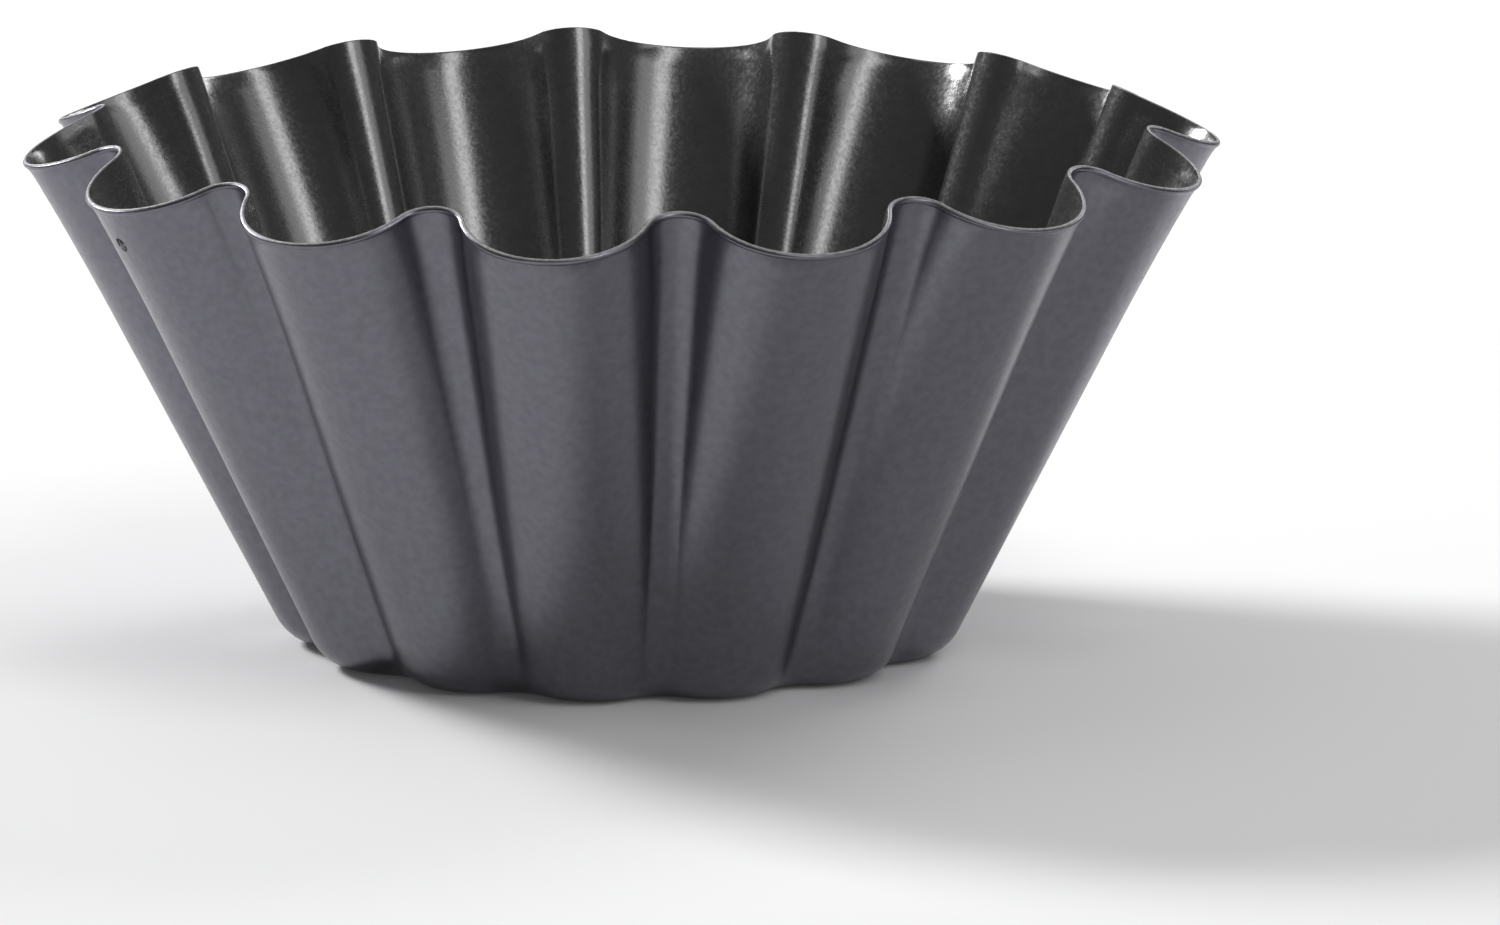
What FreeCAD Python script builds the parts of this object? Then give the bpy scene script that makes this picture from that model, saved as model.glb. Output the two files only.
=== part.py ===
import FreeCAD, Part
import math
import os

import Sketcher
from FreeCAD import Placement, Rotation, Vector

# A fluted brioche mould: one pressed steel cup with a coat on its inside and a coat on its outside.
# Frame: origin at the middle of the base on the table, +Z up, a flute's crest on +X.

os.makedirs("parts", exist_ok=True)
doc = FreeCAD.newDocument("brioche_mould")
LEVEL_TOLERANCE = 1e-4

# Driving dimensions, in millimetres, degrees and counts
DRIVING = {
    "flute_count": 14,
    "rim_diameter": 200.0,        # across the crests of two opposite flutes
    "rim_height": 82.3,           # table to the rim, on a crest
    "rim_slope": 24.8,            # the cut edge falls from each groove to each crest by this angle
    "flare_height": 3.6,          # the lip on a crest, measured down from the rim
    "flare_angle": 46.0,          # the lip on a crest, from the vertical
    "flare_turn": 1.6,            # height over which the wall turns into the lip
    "base_diameter": 111.0,       # across the crests, where the wall would meet the table
    "base_groove_depth": 3.75,
    "base_crest_radius": 12.4,
    "lip_groove_depth": 12.45,    # where the lip starts
    "lip_crest_radius": 15.5,
    "corner_radius": 8.6,         # outside of the corner between the base and the wall
    "steel_thickness": 0.5,
    "inner_coat_thickness": 0.15,
    "outer_coat_thickness": 0.15,
    "hole_diameter": 2.7,
    "hole_drop": 6.3,             # from the rim down to the hole, on a crest
    "hole_flute": 8,              # which crest is pierced, counted round from +X
}
dims = doc.addObject("Spreadsheet::Sheet", "Dims")
for row, (alias, size) in enumerate(DRIVING.items(), start=1):
    dims.set(f"A{row}", alias)
    dims.set(f"B{row}", str(size))
    dims.setAlias(f"B{row}", alias)
doc.recompute()


def number(expression):
    """The present value of an expression in the sheet's terms."""
    return float(dims.evalExpression(expression))


FLUTES = int(number("Dims.flute_count"))
PITCH = 2 * math.pi / FLUTES

# Heights of the lip's start on a crest, and of a top that is well above the finished rim
LIP = "(Dims.rim_height - Dims.flare_height)"
TOP = "(Dims.rim_height + Dims.lip_groove_depth)"

# Outside lines of the wall, each as its radius where the lip starts and its growth per height
CREST = "(Dims.rim_diameter / 2 - Dims.flare_height * tan(Dims.flare_angle))"
CREST_GROWTH = f"(({CREST} - Dims.base_diameter / 2) / {LIP})"
GROOVE = f"({CREST} - Dims.lip_groove_depth)"
GROOVE_GROWTH = f"(({GROOVE} - Dims.base_diameter / 2 + Dims.base_groove_depth) / {LIP})"
FLARE_GROWTH = "tan(Dims.flare_angle)"


def across(depth, growth):
    """A depth square to a leaning line, measured level."""
    return f"({depth} * sqrt(1 + {growth} ^ 2))"


def wall_section(height, depth):
    """Crest radius, groove radius and crest bend of the wall at a height, a depth under the outside."""
    crest = f"({CREST} - ({LIP} - {height}) * {CREST_GROWTH} - {across(depth, CREST_GROWTH)})"
    groove = f"({GROOVE} - ({LIP} - {height}) * {GROOVE_GROWTH} - {across(depth, GROOVE_GROWTH)})"
    share = f"({height} / {LIP})"
    bend = (f"(Dims.base_crest_radius + (Dims.lip_crest_radius - Dims.base_crest_radius) * {share}"
            f" - {across(depth, CREST_GROWTH)})")
    return crest, groove, bend


def lip_section(height, depth):
    """The same three sizes on the flared lip, whose grooves run on straight."""
    crest = f"({CREST} + ({height} - {LIP}) * {FLARE_GROWTH} - {across(depth, FLARE_GROWTH)})"
    groove = f"({GROOVE} + ({height} - {LIP}) * {GROOVE_GROWTH} - {across(depth, GROOVE_GROWTH)})"
    bend = f"(Dims.lip_crest_radius - {across(depth, FLARE_GROWTH)})"
    return crest, groove, bend


def direction(angle):
    """The level unit vector at an angle round the axis."""
    return Vector(math.cos(angle), math.sin(angle), 0)


def origin_feature(body, role):
    """A body's own origin plane or axis."""
    return next(item for item in body.Origin.OriginFeatures if item.Role == role)


def outline_sketch(body, name, height, crest, groove, bend):
    """The fluted outline at a height: crest arcs and groove arcs by turns, each tangent to the next."""
    half_pitch = PITCH / 2
    groove_radius = number(groove)
    crest_bend = number(bend)
    crest_centre = number(crest) - crest_bend
    level = crest_centre * math.cos(half_pitch)
    spread = crest_centre ** 2 + groove_radius ** 2 - 2 * level * groove_radius - crest_bend ** 2
    groove_bend = spread / (2 * (crest_bend - groove_radius + level))
    groove_centre = groove_radius + groove_bend
    crest_turn = math.atan2(
        groove_centre * math.sin(half_pitch),
        groove_centre * math.cos(half_pitch) - crest_centre)
    groove_turn = crest_turn - half_pitch
    up = Vector(0, 0, 1)

    sketch = body.newObject("Sketcher::SketchObject", name)
    sketch.AttachmentSupport = [(origin_feature(body, "XY_Plane"), "")]
    sketch.MapMode = "FlatFace"
    sketch.setExpression("AttachmentOffset.Base.z", height)

    # Construction circles carry the arcs' centres and touch the groove floors
    crest_ring = sketch.addGeometry(Part.Circle(Vector(), up, crest_centre), True)
    groove_ring = sketch.addGeometry(Part.Circle(Vector(), up, groove_centre), True)
    groove_floor = sketch.addGeometry(Part.Circle(Vector(), up, groove_radius), True)
    crests = []
    grooves = []
    for place in range(FLUTES):
        way = PITCH * place
        crest_circle = Part.Circle(direction(way) * crest_centre, up, crest_bend)
        crests.append(sketch.addGeometry(
            Part.ArcOfCircle(crest_circle, way - crest_turn, way + crest_turn)))
        way = way + half_pitch
        groove_circle = Part.Circle(direction(way) * groove_centre, up, groove_bend)
        inward = way + math.pi
        grooves.append(sketch.addGeometry(
            Part.ArcOfCircle(groove_circle, inward - groove_turn, inward + groove_turn)))

    start, end, middle, level_axis = 1, 2, 3, -1
    rules = []
    for circle in (crest_ring, groove_ring, groove_floor):
        rules.append(Sketcher.Constraint("Coincident", circle, middle, level_axis, start))
    for place in range(FLUTES):
        following = (place + 1) % FLUTES
        rules.append(Sketcher.Constraint("PointOnObject", crests[place], middle, crest_ring))
        rules.append(Sketcher.Constraint("PointOnObject", grooves[place], middle, groove_ring))
        rules.append(Sketcher.Constraint("Tangent", crests[place], end, grooves[place], end))
        rules.append(Sketcher.Constraint("Tangent", grooves[place], start, crests[following], start))
    for place in range(1, FLUTES):
        rules.append(Sketcher.Constraint("Equal", crests[0], crests[place]))
        rules.append(Sketcher.Constraint("Equal", grooves[0], grooves[place]))
    rules.append(Sketcher.Constraint("PointOnObject", crests[0], middle, level_axis))
    rules.append(Sketcher.Constraint("Tangent", groove_floor, grooves[0]))
    sketch.addConstraint(rules)

    sizes = {
        "crest_bend": (crests[0], crest_bend, bend),
        "crest_ring": (crest_ring, crest_centre, f"{crest} - {bend}"),
        "groove_floor": (groove_floor, groove_radius, groove),
    }
    for label, (curve, radius, expression) in sizes.items():
        index = sketch.addConstraint(Sketcher.Constraint("Radius", curve, radius))
        sketch.renameConstraint(index, label)
        sketch.setExpression(f"Constraints.{label}", expression)
    return sketch


def plug(name, depth):
    """The solid that fills the mould up to a depth under its outside face, carried on past the rim."""
    body = doc.addObject("PartDesign::Body", name)
    turn_start = f"({LIP} - Dims.flare_turn / 2)"
    turn_end = f"({LIP} + Dims.flare_turn / 2)"
    top = outline_sketch(body, f"{name}_top", TOP, *lip_section(TOP, depth))
    lip = outline_sketch(body, f"{name}_lip", turn_end, *lip_section(turn_end, depth))
    wall = outline_sketch(body, f"{name}_wall", turn_start, *wall_section(turn_start, depth))
    base = outline_sketch(body, f"{name}_base", depth, *wall_section(depth, depth))
    doc.recompute()

    block = body.newObject("PartDesign::AdditiveLoft", f"{name}_block")
    block.Profile = top
    block.Sections = [lip, wall, base]
    block.Ruled = True
    doc.recompute()

    base_level = number(depth)
    corner = body.newObject("PartDesign::Fillet", f"{name}_corner")
    corner.Base = (block, [
        f"Edge{place}" for place, edge in enumerate(block.Shape.Edges, start=1)
        if abs(edge.BoundBox.ZMax - base_level) < LEVEL_TOLERANCE
    ])
    corner.setExpression("Radius", f"Dims.corner_radius - {depth}")
    body.Tip = corner
    doc.recompute()
    return body


# Four nested plugs bound the three layers of the wall
SKIN = "0"
STEEL_OUTSIDE = "Dims.outer_coat_thickness"
STEEL_INSIDE = f"({STEEL_OUTSIDE} + Dims.steel_thickness)"
HOLLOW = f"({STEEL_INSIDE} + Dims.inner_coat_thickness)"
plugs = [
    plug("skin_plug", SKIN),
    plug("steel_plug", STEEL_OUTSIDE),
    plug("lining_plug", STEEL_INSIDE),
    plug("hollow_plug", HOLLOW),
]

# The rim is cut on a cone, so that it rises over each groove and falls at each crest
trim_cone = doc.addObject("Part::Cone", "trim_cone")
CONE_HEIGHT = "(Dims.rim_height + Dims.rim_diameter / 2 * tan(Dims.rim_slope))"
trim_cone.setExpression("Height", CONE_HEIGHT)
trim_cone.setExpression("Radius1", f"{CONE_HEIGHT} / tan(Dims.rim_slope)")
trim_cone.Radius2 = 0

# The small hole is pierced square to the wall on one crest
HOLE_HEIGHT = "(Dims.rim_height - Dims.hole_drop)"
HOLE_RADIUS = f"({CREST} - ({LIP} - {HOLE_HEIGHT}) * {CREST_GROWTH})"
PUNCH_REACH = f"({HOLLOW} + Dims.hole_diameter)"
punch = doc.addObject("Part::Cylinder", "hole_punch")
punch.setExpression("Radius", "Dims.hole_diameter / 2")
punch.setExpression("Height", f"2 * {PUNCH_REACH}")
outward = Vector(1, 0, -number(CREST_GROWTH)).normalize()
punch_start = Vector(number(HOLE_RADIUS), 0, number(HOLE_HEIGHT)) - outward * number(PUNCH_REACH)
up = Vector(0, 0, 1)
to_flute = Rotation(up, math.degrees(PITCH) * int(number("Dims.hole_flute")))
punch.Placement = Placement(Vector(), to_flute) * Placement(punch_start, Rotation(up, outward))


def layer(label, outside, inside):
    """One layer of the wall, between two plugs, cut at the rim and pierced."""
    trimmed = doc.addObject("Part::Common", f"{label}_trimmed")
    trimmed.Base = outside
    trimmed.Tool = trim_cone
    cup = doc.addObject("Part::Cut", f"{label}_cup")
    cup.Base = trimmed
    cup.Tool = inside
    pierced = doc.addObject("Part::Cut", label)
    pierced.Base = cup
    pierced.Tool = punch
    pierced.Label = label
    return pierced


# The film outside is held in two pieces: the one under the base meets the table, the one on the wall doesn't
outside_film = layer("outside_film", plugs[0], plugs[1])
base_core = doc.addObject("Part::Cylinder", "base_core")
base_core.setExpression("Radius", "(Dims.base_diameter - Dims.corner_radius) / 2")
base_core.setExpression("Height", "2 * Dims.corner_radius")
base_core.setExpression("Placement.Base.z", "-Dims.corner_radius")
base_coat = doc.addObject("Part::Common", "base_coat")
outer_coat = doc.addObject("Part::Cut", "outer_coat")
for film in (base_coat, outer_coat):
    film.Base = outside_film
    film.Tool = base_core
    film.Label = film.Name

subparts = [
    outer_coat,
    base_coat,
    layer("steel_shell", plugs[1], plugs[2]),
    layer("inner_coat", plugs[2], plugs[3]),
]
doc.recompute()

failed = [item.Name for item in doc.Objects if {"Invalid", "Error"} & set(item.State)]
if failed:
    raise RuntimeError(f"these objects failed: {failed}")
for subpart in subparts:
    shape = subpart.Shape
    if shape.isNull() or not shape.isValid() or len(shape.Solids) != 1:
        raise RuntimeError(f"{subpart.Label} is not one sound solid")
for subpart in subparts:
    shape = subpart.Shape
    box = shape.optimalBoundingBox(False)
    print(f"{subpart.Label}: volume {shape.Volume:.1f} mm3, "
          f"{box.XLength:.2f} x {box.YLength:.2f} x {box.ZLength:.2f} mm, from z {box.ZMin:.3f}")
    shape.exportStep(f"parts/{subpart.Label}.step")
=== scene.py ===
# %% [markdown]
# A fluted brioche mould in Blender.
# The real mould is one cup pressed from a round blank of steel sheet. A satin grey film covers its outside,
# a glossy dark film covers its inside, and bare metal shows only where the sheet was cut, along the rim.
# The lesson loads the CAD frame, which fixes every size, and then builds the sheet and its two films as
# smooth meshes, with the soft lip and the rounded edge that the pressing has.

# %% Load the frame
import math

import bmesh
import bpy
import numpy as np
from mathutils import Matrix, Vector


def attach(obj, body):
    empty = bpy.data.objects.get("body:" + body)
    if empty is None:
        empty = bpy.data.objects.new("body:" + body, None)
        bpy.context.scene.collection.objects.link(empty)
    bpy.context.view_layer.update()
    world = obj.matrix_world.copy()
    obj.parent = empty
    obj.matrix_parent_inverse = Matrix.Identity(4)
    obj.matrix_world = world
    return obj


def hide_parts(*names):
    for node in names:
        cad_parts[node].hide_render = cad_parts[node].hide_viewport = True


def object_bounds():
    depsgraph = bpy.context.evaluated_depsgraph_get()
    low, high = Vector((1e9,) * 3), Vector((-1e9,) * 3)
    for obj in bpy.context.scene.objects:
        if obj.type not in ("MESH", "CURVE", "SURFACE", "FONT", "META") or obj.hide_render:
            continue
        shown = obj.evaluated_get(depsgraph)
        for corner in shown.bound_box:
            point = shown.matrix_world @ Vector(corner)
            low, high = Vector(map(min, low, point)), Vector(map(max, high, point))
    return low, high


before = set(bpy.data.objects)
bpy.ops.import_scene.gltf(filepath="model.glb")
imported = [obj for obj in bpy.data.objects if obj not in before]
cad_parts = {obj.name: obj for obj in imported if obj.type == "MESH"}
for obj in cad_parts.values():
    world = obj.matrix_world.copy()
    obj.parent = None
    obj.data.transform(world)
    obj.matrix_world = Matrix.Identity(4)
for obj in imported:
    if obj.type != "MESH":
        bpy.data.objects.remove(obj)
cad_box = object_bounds()
print("pieces in the frame:", sorted(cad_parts))

# %% [markdown]
# The camera.
# A product photograph like this one is taken from far away with a long lens, so that the flutes hardly
# shrink towards the back.
# A camera can be placed by a position and three rotations. Here it is set by the point that it looks at,
# two angles and a distance, which is easier to read and to change.

# %% Camera
AIM = Vector((0.02081, -0.00228, 0.02945))
CAMERA_DISTANCE = 2.3629
CAMERA_TURN = math.radians(6.249)
CAMERA_DIP = math.radians(11.512)
LENS_MM = 340.54
SENSOR_MM = 36.0

view_direction = Vector((
    math.sin(CAMERA_TURN) * math.cos(CAMERA_DIP),
    math.cos(CAMERA_TURN) * math.cos(CAMERA_DIP),
    -math.sin(CAMERA_DIP),
))
camera_data = bpy.data.cameras.new("camera")
camera_data.lens = LENS_MM
camera_data.sensor_width = SENSOR_MM
camera = bpy.data.objects.new("camera", camera_data)
camera.location = AIM - CAMERA_DISTANCE * view_direction
camera.rotation_euler = view_direction.to_track_quat("-Z", "Y").to_euler()
bpy.context.scene.collection.objects.link(camera)
bpy.context.scene.camera = camera
print("camera at", [round(v, 3) for v in camera.location])

# %% [markdown]
# The outline of the flutes.
# Seen from above, the wall is a chain of round crests and tighter round grooves, each tangent to the next.
# The chain could be drawn as a curve and lofted, or pulled out of a cylinder by hand.
# Here one formula gives it from three sizes: how far out the crests reach, how far in the grooves reach, and
# how round a crest is. The three change with height, which gives the tapering wall. A formula keeps every
# upright line of the mesh on the same place of its flute from the base to the rim, so the faces are clean
# quads that follow the pressing.

# %% Sizes of the wall, in metres
MM = 0.001
FLUTES = 14
PITCH = 2 * math.pi / FLUTES
HALF_PITCH = PITCH / 2
RIM_HEIGHT = 82.3 * MM
BASE_CREST = 55.84 * MM
BASE_FLUTE_DEPTH = 3.9 * MM
BASE_GROOVE = BASE_CREST - BASE_FLUTE_DEPTH
BASE_BEND = 12.4 * MM
LIP_HEIGHT = 78.7 * MM
LIP_CREST = 96.61 * MM
LIP_FLUTE_DEPTH = 12.7 * MM
LIP_GROOVE = LIP_CREST - LIP_FLUTE_DEPTH
LIP_BEND = 15.5 * MM
CREST_LEAN = (LIP_CREST - BASE_CREST) / LIP_HEIGHT
GROOVE_LEAN = (LIP_GROOVE - BASE_GROOVE) / LIP_HEIGHT
print(f"wall leans {math.degrees(math.atan(CREST_LEAN)):.1f} degrees at a crest, "
      f"{math.degrees(math.atan(GROOVE_LEAN)):.1f} in a groove")

# %% Columns round the wall
CREST_STEPS = 24
GROOVE_STEPS = 16


def wall_columns():
    """For each upright line: the direction of its flute, whether it is on a crest, its share of the bend."""
    columns = []
    for flute in range(FLUTES):
        for step in range(CREST_STEPS + 1):
            columns.append((flute * PITCH, True, 2 * step / CREST_STEPS - 1))
        for step in range(1, GROOVE_STEPS):
            columns.append((flute * PITCH + HALF_PITCH, False, 1 - 2 * step / GROOVE_STEPS))
    return columns


columns = wall_columns()
WAYS = np.array([column[0] for column in columns])
ON_CREST = np.array([column[1] for column in columns])
SHARES = np.array([column[2] for column in columns])
print(len(columns), "upright lines round the wall")

# %% Chain of arcs


def arc_chain(crest, groove, bend):
    """Level places of the upright lines for the reach of crests and of grooves and a crest's radius."""
    crest_centre = crest - bend
    level = crest_centre * math.cos(HALF_PITCH)
    spread = crest_centre ** 2 + groove ** 2 - 2 * level * groove - bend ** 2
    groove_bend = spread / (2 * (bend - groove + level))
    groove_centre = groove + groove_bend
    crest_turn = np.arctan2(
        groove_centre * math.sin(HALF_PITCH),
        groove_centre * math.cos(HALF_PITCH) - crest_centre)
    groove_turn = crest_turn - HALF_PITCH
    centre = np.where(ON_CREST, crest_centre, groove_centre)
    radius = np.where(ON_CREST, bend, groove_bend)
    angle = np.where(ON_CREST, WAYS + SHARES * crest_turn, WAYS + math.pi + SHARES * groove_turn)
    x = centre * np.cos(WAYS) + radius * np.cos(angle)
    y = centre * np.sin(WAYS) + radius * np.sin(angle)
    return x, y


x, y = arc_chain(LIP_CREST, LIP_GROOVE, LIP_BEND)
reach = np.hypot(x, y)
print(f"chain at the lip: {reach.min() / MM:.2f} mm in the grooves, {reach.max() / MM:.2f} at the crests")

# %% [markdown]
# The bow of the wall and the lip.
# A flat flange held the blank while the punch drew it down, and the flange was cut off afterwards. What is
# left of its bend is a wall that bows out a little towards the rim and ends in a narrow lip.
# A lattice or a simple bend would turn every flute by the same amount at the same height. The cut edge isn't
# level, though, so the lip is measured down from each upright line's own rim, and only the bow follows the
# height above the table.

# %% Bow and lip
BOW_START = 58.0 * MM
BOW = 0.9 * MM
LIP_BAND = 3.0 * MM
CREST_FLARE = 0.4 * MM
GROOVE_FLARE = 0.05 * MM
CREASE_LENGTH = 0.6
LIP_RADIUS = BASE_CREST + CREST_LEAN * RIM_HEIGHT + BOW + CREST_FLARE


def lip_bend(rise):
    """Share of the flare at a share of the band's height: a soft crease, then a steady slope."""
    bent = np.minimum(rise, CREASE_LENGTH) ** 2 / (2 * CREASE_LENGTH)
    straight = np.maximum(rise - CREASE_LENGTH, 0.0)
    return (bent + straight) / (1 - CREASE_LENGTH / 2)


spare = cad_box[1][0] - LIP_RADIUS
print(f"the lip reaches {LIP_RADIUS / MM:.2f} mm out, {spare / MM:.2f} mm inside the CAD rim")

# %% Points of the wall
CREST_LEAN_ABOVE = 0.3


def wall_points(heights, flare=0.0, offset=0.0):
    """Outside points of every upright line at given heights, with a share of the flare and a level offset.

    Above the rim of the crests, which only the grooves reach, the crest line leans less."""
    heights = np.broadcast_to(np.asarray(heights, float), WAYS.shape)
    above = np.maximum(heights - RIM_HEIGHT, 0.0)
    bowed = np.clip((heights - BOW_START) / (RIM_HEIGHT - BOW_START), 0.0, 1.0)
    risen = np.minimum(heights / LIP_HEIGHT, 1.0)
    turned_out = CREST_FLARE * flare + offset
    crest = BASE_CREST + CREST_LEAN * (heights - above) + CREST_LEAN_ABOVE * above
    crest = crest + BOW * bowed ** 2 + turned_out
    groove = BASE_GROOVE + GROOVE_LEAN * heights + GROOVE_FLARE * flare + offset
    bend = BASE_BEND + (LIP_BEND - BASE_BEND) * risen + turned_out
    x, y = arc_chain(crest, groove, bend)
    return np.stack([x, y, heights], axis=-1)


rim_ring = wall_points(RIM_HEIGHT, flare=1.0)
print(f"ring at the rim of the crests: {np.hypot(rim_ring[:, 0], rim_ring[:, 1]).max() / MM:.2f} mm out")

# %% [markdown]
# The wavy rim.
# The rim rises over each groove and falls at each crest, because the flange was cut off by a tool that
# follows a shallow cone.
# A Boolean with a cone would cut the wall there and leave thin slivers along the edge. Here each upright
# line is followed upwards until it meets the cone, by halving the space between two heights, so the top
# ring of the mesh lies on the cut itself.

# %% Rim height of each upright line
CUT_CONE_DEGREES = 24.8
RIM_SLOPE = math.tan(math.radians(CUT_CONE_DEGREES))
SEARCH_LOW = 78.0 * MM
SEARCH_HIGH = 96.0 * MM
SEARCH_STEPS = 40


def rim_heights():
    """The height at which each upright line meets the cone of the cut."""
    low = np.full(len(columns), SEARCH_LOW)
    high = np.full(len(columns), SEARCH_HIGH)
    for _ in range(SEARCH_STEPS):
        middle = (low + high) / 2
        points = wall_points(middle, flare=1.0)
        reach = np.hypot(points[:, 0], points[:, 1])
        below = middle < RIM_HEIGHT + (LIP_RADIUS - reach) * RIM_SLOPE
        low = np.where(below, middle, low)
        high = np.where(below, high, middle)
    return (low + high) / 2


rim = rim_heights()
print(f"rim from {rim.min() / MM:.2f} to {rim.max() / MM:.2f} mm above the table")

# %% [markdown]
# From the base to the rim.
# The outside face is a flat base, a rounded corner where the punch drew the sheet up, the wall and the lip.
# It is a stack of rings, one above the other, with the rings closer together where the sheet bends more.
# A subdivision surface would round the corner too, but it would also pull the rim in, and the corner's
# radius couldn't be set.

# %% Rings of the outside face
CORNER_RADIUS = 8.6 * MM
CORNER_TURN = math.pi / 2 - math.atan(CREST_LEAN)
CORNER_TOP = CORNER_RADIUS * (1 - math.cos(CORNER_TURN))
CORNER_STEPS = 12
WALL_STEPS = 16
LIP_STEPS = 24
LIP_CROWDING = 1.5
BASE_RINGS = (0.2, 0.45, 0.7, 0.9)


def corner_ring(turn):
    """The ring where the rounded corner has turned up by an angle from the flat base."""
    height = CORNER_RADIUS * (1 - math.cos(turn))
    inset = CORNER_RADIUS * (math.sin(CORNER_TURN) - math.sin(turn)) - CREST_LEAN * (CORNER_TOP - height)
    return wall_points(height, offset=-inset)


def outside_rings():
    """Rings of the outside face from the middle of the base to the rim."""
    rings = [corner_ring(0.0) * (scale, scale, 1.0) for scale in BASE_RINGS]
    for step in range(CORNER_STEPS):
        rings.append(corner_ring(CORNER_TURN * step / CORNER_STEPS))
    lip_start = rim - LIP_BAND
    for step in range(WALL_STEPS):
        rings.append(wall_points(CORNER_TOP + (lip_start - CORNER_TOP) * step / WALL_STEPS))
    for step in range(LIP_STEPS + 1):
        rise = 1 - (1 - step / LIP_STEPS) ** LIP_CROWDING
        rings.append(wall_points(lip_start + LIP_BAND * rise, flare=lip_bend(rise)))
    return np.array(rings)


outside = outside_rings()
print("outside face:", outside.shape[0], "rings of", outside.shape[1], "points")

# %% [markdown]
# Layers under the outside face.
# The mould has three layers: the film outside, the steel sheet and the film inside. Each one lies at its own
# depth under the outside face.
# A Solidify modifier could give each a thickness. Here the depth is worked out square to the sheet at every
# point, so that neighbours share the same face exactly, keep their thickness round the corner and over the
# lip, and each get an edge of their own at the rim.

# %% Directions into the sheet and along it
upward = np.gradient(outside, axis=0)
around = np.roll(outside, -1, axis=1) - np.roll(outside, 1, axis=1)
inward = np.cross(upward, around)
inward[: len(BASE_RINGS) + 1] = (0.0, 0.0, 1.0)
inward /= np.linalg.norm(inward, axis=2, keepdims=True)
edge_way = outside[-1] - outside[-2]
edge_way /= np.linalg.norm(edge_way, axis=1, keepdims=True)
edge_lean = np.arctan2(np.hypot(edge_way[:, 0], edge_way[:, 1]), edge_way[:, 2])
cut_slant = np.tan(edge_lean - math.atan(RIM_SLOPE))[:, None]
print(f"the edge of a crest leans {math.degrees(math.acos(edge_way[CREST_STEPS // 2, 2])):.0f} degrees")

# %% Rings that stay clear of an edge
EDGE_CLEAR = 0.03 * MM
steps_up = np.linalg.norm(np.diff(outside, axis=0), axis=2)
below_rim = np.append(np.cumsum(steps_up[::-1], axis=0)[::-1].min(axis=1), 0.0)


def rings_under(depth, drop, swell=0.0):
    """The rings at a depth that stay clear of an edge point, moved out by a swelling."""
    shift = np.full(len(outside), depth) - swell
    face = outside + shift[:, None, None] * inward
    clear = drop + max(depth, 0.0) * cut_slant.max() + EDGE_CLEAR
    return list(face[below_rim > clear])


print(f"{len(rings_under(0.0, 0.0))} rings stay clear of the rim itself")

# %% A closed mesh through a stack of rings


def close_rings(name, rings):
    """A closed mesh through a stack of rings that starts and ends in the middle of the base."""
    count = len(columns)
    points = [np.array([[0.0, 0.0, rings[0][0, 2]]])] + rings + [np.array([[0.0, 0.0, rings[-1][0, 2]]])]
    top = 1 + count * (len(rings) - 1)
    last = top + count
    faces = []
    for column in range(count):
        following = (column + 1) % count
        faces.append((0, 1 + following, 1 + column))
        for row in range(len(rings) - 1):
            low = 1 + row * count
            high = low + count
            faces.append((low + column, low + following, high + following, high + column))
        faces.append((last, top + column, top + following))
    mesh = bpy.data.meshes.new(name)
    mesh.from_pydata(np.concatenate(points).tolist(), [], faces)
    mesh.validate()
    piece = bpy.data.objects.new(name, mesh)
    bpy.context.scene.collection.objects.link(piece)
    return piece


def layer(name, edge, swell=0.0):
    """A layer between two depths; edge lists depth and drop pairs across the rim, from outside to inside."""
    outer = rings_under(edge[0][0], edge[0][1], swell)
    inner = rings_under(edge[-1][0], edge[-1][1])
    across = []
    for depth, drop in edge:
        across.append(outside[-1] + depth * inward[-1] - (drop + depth * cut_slant) * edge_way)
    piece = close_rings(name, outer + across + inner[::-1])
    print(f"{name}: {len(piece.data.polygons)} faces")
    return piece


# %% [markdown]
# The steel sheet.
# The sheet carries the mould: half a millimetre of steel, bare only along its cut, where a thin line of
# light runs round the rim.
# A square edge catches light on one side only. A bevel would round it, but here the edge is half an ellipse
# of a few points from the start, because the layer has to be written ring by ring anyway.

# %% Steel sheet
FILM = 0.15 * MM
STEEL = 0.5 * MM
BARE = 0.15 * MM
EDGE_STEPS = 8
edge_turns = [math.pi * step / EDGE_STEPS for step in range(EDGE_STEPS + 1)]
round_cut = [(FILM + STEEL / 2 * (1 - math.cos(turn)), BARE * (1 - math.sin(turn))) for turn in edge_turns]
steel_sheet = layer("steel_sheet", round_cut)

# %% [markdown]
# The film outside.
# A sprayed film draws back from a sharp edge and dries in a low bead just below it. On the mould the bead
# shows as a light line under the rim with a dark line below it.
# Bump could draw such a line, but a shape that catches the light is better made as geometry, which holds up
# from close by. So the rings of this film swell out a little below the cut.

# %% Film outside
TAPER = 0.08 * MM
BEAD = 0.2 * MM
BEAD_MIDDLE = 0.55 * MM
BEAD_HALF = 0.5 * MM


def bead(drop):
    """How far the outside film swells at a distance below the rim."""
    share = np.clip((drop - BEAD_MIDDLE) / BEAD_HALF, -1.0, 1.0)
    return BEAD * np.cos(share * math.pi / 2) ** 2


outer_end = [(0.0, BARE + TAPER), (FILM / 2, BARE + TAPER / 4), (FILM, BARE)]
outside_film = layer("outside_film", outer_end, bead(below_rim))

# %% [markdown]
# The film inside.
# The non-stick film inside ends just below the cut as well, in a thin tapered edge without a bead.
# It is the mirror of the outside film's edge, so its depths are counted from the hollow of the cup instead
# of being written again.

# %% Film inside
HOLLOW = FILM + STEEL + FILM
inner_end = [(HOLLOW - depth, drop) for depth, drop in outer_end[::-1]]
inside_film = layer("inside_film", inner_end)

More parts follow.
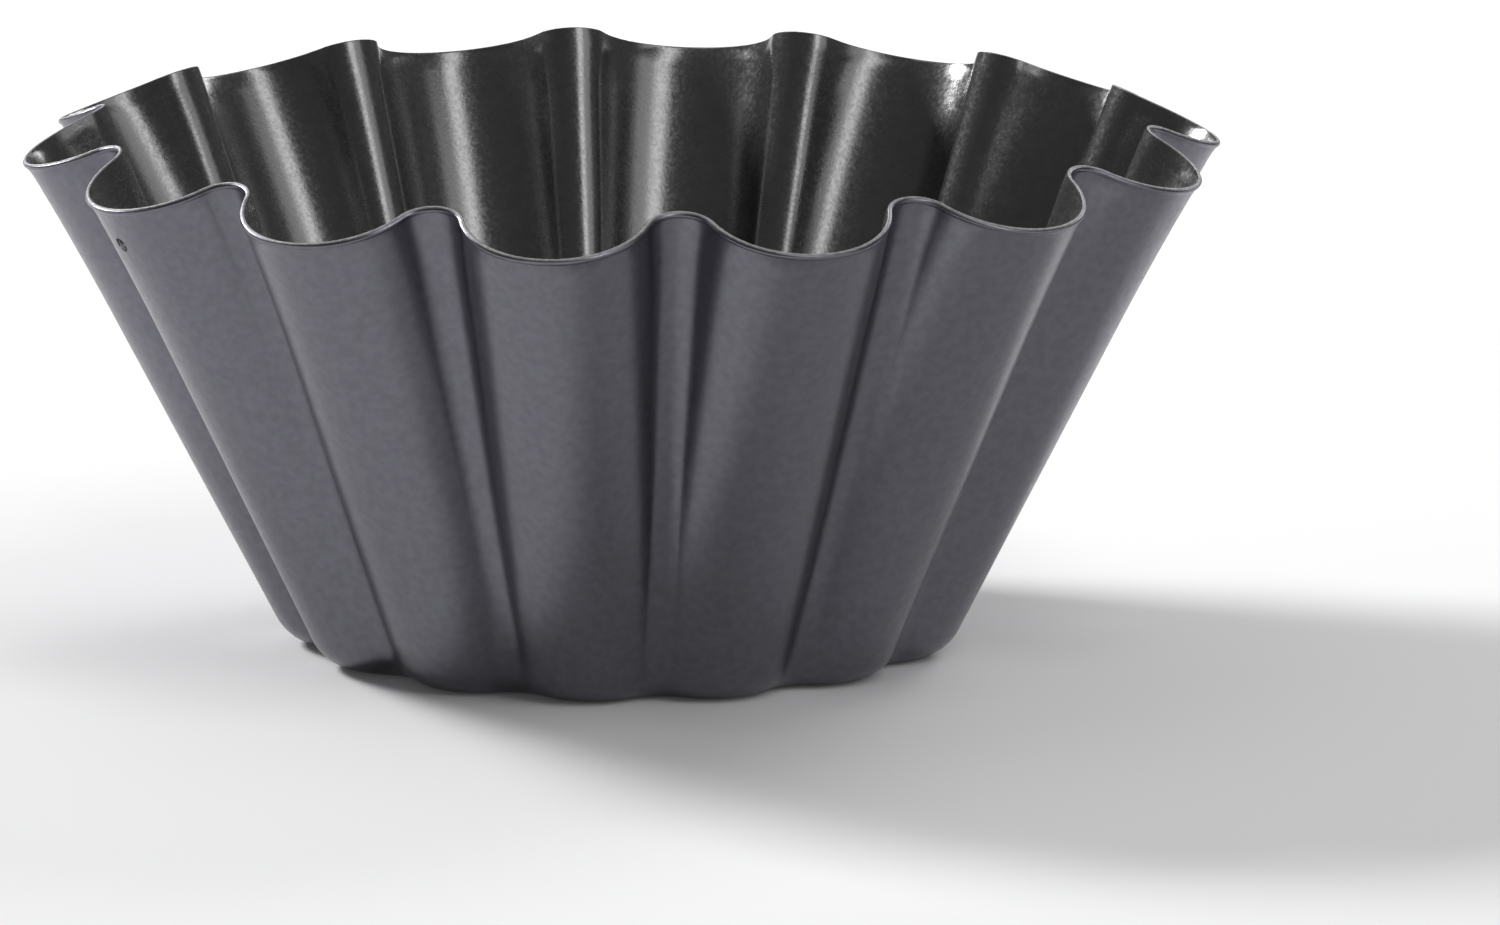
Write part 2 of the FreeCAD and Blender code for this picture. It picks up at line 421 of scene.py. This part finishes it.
# %% [markdown]
# The small hole.
# One crest has a small hole near the rim, by which the pressing hangs while it is coated.
# A dark disc would look much the same from the front, but it would be wrong from inside. A cylinder square
# to the wall cuts all three layers with a Boolean instead, so the hole lines up through them. The cut in
# the steel is a little wider than in the films and stands back from them, so no bare metal glints in it.

# %% Punch for the hole
HOLE_DIAMETER = 2.7 * MM
HOLE_BELOW_RIM = 6.3 * MM
HOLE_HEIGHT = RIM_HEIGHT - HOLE_BELOW_RIM
HOLE_FLUTE = 8
HOLE_SIDES = 40
PUNCH_LENGTH = 8 * MM


def hole_punch(diameter):
    """A cylinder square to the wall, in the middle of the pierced crest."""
    outward = Vector((1.0, 0.0, -CREST_LEAN)).normalized()
    middle = Vector((BASE_CREST + CREST_LEAN * HOLE_HEIGHT, 0.0, HOLE_HEIGHT))
    place = Matrix.Rotation(HOLE_FLUTE * PITCH, 4, "Z") @ Matrix.Translation(middle)
    place = place @ outward.to_track_quat("Z", "Y").to_matrix().to_4x4()
    shape = bmesh.new()
    bmesh.ops.create_cone(
        shape, cap_ends=True, segments=HOLE_SIDES, depth=PUNCH_LENGTH,
        radius1=diameter / 2, radius2=diameter / 2, matrix=place)
    mesh = bpy.data.meshes.new("punch")
    shape.to_mesh(mesh)
    shape.free()
    punch = bpy.data.objects.new("punch", mesh)
    bpy.context.scene.collection.objects.link(punch)
    return punch


print(f"hole of {HOLE_DIAMETER / MM:.1f} mm, {HOLE_HEIGHT / MM:.1f} mm above the table")

# %% Hole through the layers
STEEL_WIDER = 0.3 * MM
SHARP_ANGLE = math.radians(32)


def pierce(piece, punch):
    """Cuts the punch out of a layer and keeps the result as the layer's own mesh."""
    cut = piece.modifiers.new("hole", "BOOLEAN")
    cut.operation = "DIFFERENCE"
    cut.solver = "MANIFOLD"
    cut.object = punch
    bpy.context.view_layer.update()
    ready = piece.evaluated_get(bpy.context.evaluated_depsgraph_get())
    mesh = bpy.data.meshes.new_from_object(ready)
    piece.modifiers.clear()
    piece.data = mesh


for piece, diameter in (
        (outside_film, HOLE_DIAMETER),
        (steel_sheet, HOLE_DIAMETER + STEEL_WIDER),
        (inside_film, HOLE_DIAMETER)):
    punch = hole_punch(diameter)
    pierce(piece, punch)
    bpy.data.objects.remove(punch)
    piece.data.shade_smooth()
    piece.data.set_sharp_from_angle(angle=SHARP_ANGLE)
    print(piece.name, "pierced:", len(piece.data.polygons), "faces")

# %% [markdown]
# In place of the CAD parts.
# The frame holds the same layers as plain solids, which the motion checks use. The new meshes are drawn
# instead of them and follow the same body.
# The CAD parts could be shown as they are, but they lack the bow, the lip, the bead and the rounded cut. The
# CAD holds the outside film as two solids, wall and base, and one mesh stands for both.

# %% Put the layers in place of the CAD nodes
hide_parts("outer_coat", "base_coat")
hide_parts("steel_shell")
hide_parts("inner_coat")
for piece in (outside_film, steel_sheet, inside_film):
    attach(piece, "root")
    print(piece.name, "rides on root")

# %% [markdown]
# Finishes from noise.
# No finish on the mould is one flat colour: sprayed film is faintly mottled, and its gloss changes from spot
# to spot. Photographs could be wrapped round it as textures. Noise from nodes needs no unwrapping, has no
# seam and stays sharp from close by.
# Each helper below sends one noise to one input of the shader. The grain is given as a real size.

# %% Node helpers
NOISE_LOW = 0.35
NOISE_HIGH = 0.65


def shader_of(material):
    """The main shader node of a material."""
    return material.node_tree.nodes["Principled BSDF"]


def new_finish(name, roughness, metallic):
    """A material with one even roughness, to which noises are added."""
    material = bpy.data.materials.new(name)
    material.use_nodes = True
    shader_of(material).inputs["Roughness"].default_value = roughness
    shader_of(material).inputs["Metallic"].default_value = metallic
    return material


def add_noise(material, grain, detail):
    """A noise in the object's own metres whose patches are about a grain wide; returns its value output."""
    nodes, links = material.node_tree.nodes, material.node_tree.links
    place = nodes.new("ShaderNodeTexCoord")
    noise = nodes.new("ShaderNodeTexNoise")
    noise.inputs["Scale"].default_value = 1 / grain
    noise.inputs["Detail"].default_value = detail
    links.new(place.outputs["Object"], noise.inputs["Vector"])
    return noise.outputs["Fac"]


def vary_colour(material, value, dark, light):
    """Blends the colour between two tones by a noise."""
    nodes, links = material.node_tree.nodes, material.node_tree.links
    ramp = nodes.new("ShaderNodeValToRGB")
    ramp.color_ramp.elements[0].position = NOISE_LOW
    ramp.color_ramp.elements[0].color = (*dark, 1.0)
    ramp.color_ramp.elements[1].position = NOISE_HIGH
    ramp.color_ramp.elements[1].color = (*light, 1.0)
    links.new(value, ramp.inputs["Fac"])
    links.new(ramp.outputs["Color"], shader_of(material).inputs["Base Color"])


def vary_roughness(material, value, low, high):
    """Spreads the roughness between two values by a noise."""
    nodes, links = material.node_tree.nodes, material.node_tree.links
    spread = nodes.new("ShaderNodeMapRange")
    spread.inputs["From Min"].default_value = NOISE_LOW
    spread.inputs["From Max"].default_value = NOISE_HIGH
    spread.inputs["To Min"].default_value = low
    spread.inputs["To Max"].default_value = high
    links.new(value, spread.inputs["Value"])
    links.new(spread.outputs["Result"], shader_of(material).inputs["Roughness"])


def add_bump(material, value, height, strength):
    """Raises the surface by a noise."""
    nodes, links = material.node_tree.nodes, material.node_tree.links
    bump = nodes.new("ShaderNodeBump")
    bump.inputs["Distance"].default_value = height
    bump.inputs["Strength"].default_value = strength
    links.new(value, bump.inputs["Height"])
    links.new(bump.outputs["Normal"], shader_of(material).inputs["Normal"])


def dress(piece, finish):
    """Gives a piece its finish."""
    piece.data.materials.clear()
    piece.data.materials.append(finish)
    print(f"{piece.name} wears {finish.name}, made of {len(finish.node_tree.nodes)} nodes")


# %% [markdown]
# Satin film outside.
# The outside is a thin grey film with a faint violet tint and a satin sheen, and it shows the table and the
# lamps as soft patches.
# A matt grey with a clear coat would be lit evenly, and the flutes would look flat. Such a film is full of
# metal flakes, so it is made as a dark metal with a medium roughness, and its mottling is a millimetre or
# two wide.

# %% Satin film outside
SATIN_DARK = (0.157, 0.155, 0.179)
SATIN_LIGHT = (0.180, 0.178, 0.205)

satin = new_finish("satin_grey_film", roughness=0.32, metallic=1.0)
vary_colour(satin, add_noise(satin, grain=1.5 * MM, detail=3.0), SATIN_DARK, SATIN_LIGHT)
vary_roughness(satin, add_noise(satin, grain=1.1 * MM, detail=3.0), low=0.28, high=0.36)
add_bump(satin, add_noise(satin, grain=2.0 * MM, detail=1.0), height=0.02 * MM, strength=0.1)
dress(outside_film, satin)

# %% [markdown]
# Glossy film inside.
# The non-stick film inside is nearly black and shiny, with the fine orange peel of a sprayed coat, which
# breaks each bright streak into sparkles.
# The colour carries almost none of this look, so the work is in the gloss: a high index of refraction with
# a raised reflection level, a low roughness that changes from spot to spot, and a fine bump.

# %% Glossy film inside
GLOSS_IOR = 1.9
GLOSS_LEVEL = 0.78
GLOSS_DARK = (0.024, 0.024, 0.025)
GLOSS_LIGHT = (0.034, 0.034, 0.035)

gloss = new_finish("glossy_dark_film", roughness=0.24, metallic=0.0)
shader_of(gloss).inputs["IOR"].default_value = GLOSS_IOR
shader_of(gloss).inputs["Specular IOR Level"].default_value = GLOSS_LEVEL
vary_colour(gloss, add_noise(gloss, grain=2.5 * MM, detail=4.0), GLOSS_DARK, GLOSS_LIGHT)
vary_roughness(gloss, add_noise(gloss, grain=0.7 * MM, detail=3.0), low=0.19, high=0.29)
add_bump(gloss, add_noise(gloss, grain=0.6 * MM, detail=3.0), height=0.03 * MM, strength=0.6)
dress(inside_film, gloss)

# %% [markdown]
# Bare steel at the cut.
# Shears leave the edge of the sheet grey and a little torn, so it scatters light more than polished steel.
# A bright mirror would sparkle along the whole rim. A rough metal of a middling grey, with a fine uneven
# grain, gives the quiet thin line that the real edge has.

# %% Bare steel at the cut
STEEL_DARK = (0.3, 0.3, 0.31)
STEEL_LIGHT = (0.42, 0.42, 0.43)

bare = new_finish("bare_cut_steel", roughness=0.68, metallic=1.0)
vary_colour(bare, add_noise(bare, grain=1.1 * MM, detail=4.0), STEEL_DARK, STEEL_LIGHT)
vary_roughness(bare, add_noise(bare, grain=0.4 * MM, detail=3.0), low=0.6, high=0.75)
add_bump(bare, add_noise(bare, grain=0.33 * MM, detail=3.0), height=0.01 * MM, strength=0.4)
dress(steel_sheet, bare)

# %% [markdown]
# The table.
# The mould stands on a plain white table that fades into a white background, with a soft shadow on it.
# More light would whiten the table too, but it would also bleach the mould. The table is nearly white paint,
# and a little white is added only to what the camera and the reflections see of it.

# %% Table
TABLE_SIZE = 12.0
TABLE_WHITE = (0.86, 0.86, 0.865, 1.0)
TABLE_GLOSS = 0.1
TABLE_LIFT = 0.03

bpy.ops.mesh.primitive_plane_add(size=TABLE_SIZE)
table = bpy.context.object
table.name = "table"
table_paint = new_finish("table_paint", roughness=0.9, metallic=0.0)
shader_of(table_paint).inputs["Base Color"].default_value = TABLE_WHITE
shader_of(table_paint).inputs["Specular IOR Level"].default_value = TABLE_GLOSS
table.data.materials.append(table_paint)
print(f"table of {TABLE_SIZE:.0f} m, which is not part of the mould")

# %% White that only the camera and the reflections see


def lift_for_camera(material, strength):
    """Adds white to what the camera and the reflections see of a surface, and no light elsewhere."""
    nodes, links = material.node_tree.nodes, material.node_tree.links
    path = nodes.new("ShaderNodeLightPath")
    seen = path.outputs["Is Camera Ray"]
    for ray in ("Is Glossy Ray", "Is Transmission Ray"):
        either = nodes.new("ShaderNodeMath")
        either.operation = "MAXIMUM"
        links.new(seen, either.inputs[0])
        links.new(path.outputs[ray], either.inputs[1])
        seen = either.outputs["Value"]
    lift = nodes.new("ShaderNodeMath")
    lift.operation = "MULTIPLY"
    lift.inputs[1].default_value = strength
    links.new(seen, lift.inputs[0])
    glow = nodes.new("ShaderNodeEmission")
    links.new(lift.outputs["Value"], glow.inputs["Strength"])
    both = nodes.new("ShaderNodeAddShader")
    links.new(shader_of(material).outputs["BSDF"], both.inputs[0])
    links.new(glow.outputs["Emission"], both.inputs[1])
    links.new(both.outputs["Shader"], nodes["Material Output"].inputs["Surface"])


lift_for_camera(table_paint, TABLE_LIFT)
print(f"the table is lifted by {TABLE_LIFT} for the camera")

# %% [markdown]
# The room and the lamps.
# A shiny thing is lit by what it reflects, so each lamp here is placed for the patch or the streak that it
# draws on the mould. The key lamp, behind on the left, throws the shadow to the right and forwards, and the
# back lamp and the top lamp fill it and light the rim. A tall lamp in front on the right draws the upright
# streaks inside, and a weak one beside it brightens the flutes on the right.
# A picture of a studio wrapped round the scene could do the same, but single lamps can be moved one by one.

# %% Room light
ROOM_WHITE = (1.0, 1.0, 1.0, 1.0)
ROOM_STRENGTH = 0.11

room = bpy.data.worlds.new("room")
room.use_nodes = True
room.node_tree.nodes["Background"].inputs["Color"].default_value = ROOM_WHITE
room.node_tree.nodes["Background"].inputs["Strength"].default_value = ROOM_STRENGTH
bpy.context.scene.world = room
bpy.context.scene.view_settings.view_transform = "Standard"
print(f"room light of {ROOM_STRENGTH} from all sides")

# %% Lamps


def soft_lamp(name, turn, rise, distance, width, height, power):
    """A rectangular lamp that looks at the mould from a compass turn (0 is +X) and a height angle."""
    turn, rise = math.radians(turn), math.radians(rise)
    direction = Vector((
        math.cos(rise) * math.cos(turn),
        math.cos(rise) * math.sin(turn),
        math.sin(rise),
    ))
    data = bpy.data.lights.new(name, "AREA")
    data.shape = "RECTANGLE"
    data.size = width
    data.size_y = height
    data.energy = power
    lamp = bpy.data.objects.new(name, data)
    lamp.location = AIM + distance * direction
    lamp.rotation_euler = (-direction).to_track_quat("-Z", "Y").to_euler()
    bpy.context.scene.collection.objects.link(lamp)
    print(f"{name}: {power:.1f} W, {width} by {height} m")


soft_lamp("key_lamp", turn=137, rise=32, distance=2.2, width=0.5, height=0.5, power=48.0)
soft_lamp("back_lamp", turn=48, rise=32, distance=2.2, width=0.9, height=0.9, power=16.0)
soft_lamp("top_lamp", turn=100, rise=74, distance=2.0, width=1.6, height=1.6, power=4.5)
soft_lamp("streak_lamp", turn=-61, rise=49, distance=2.2, width=0.6, height=2.3, power=15.0)
soft_lamp("side_lamp", turn=-38, rise=31, distance=2.2, width=0.9, height=1.1, power=3.2)
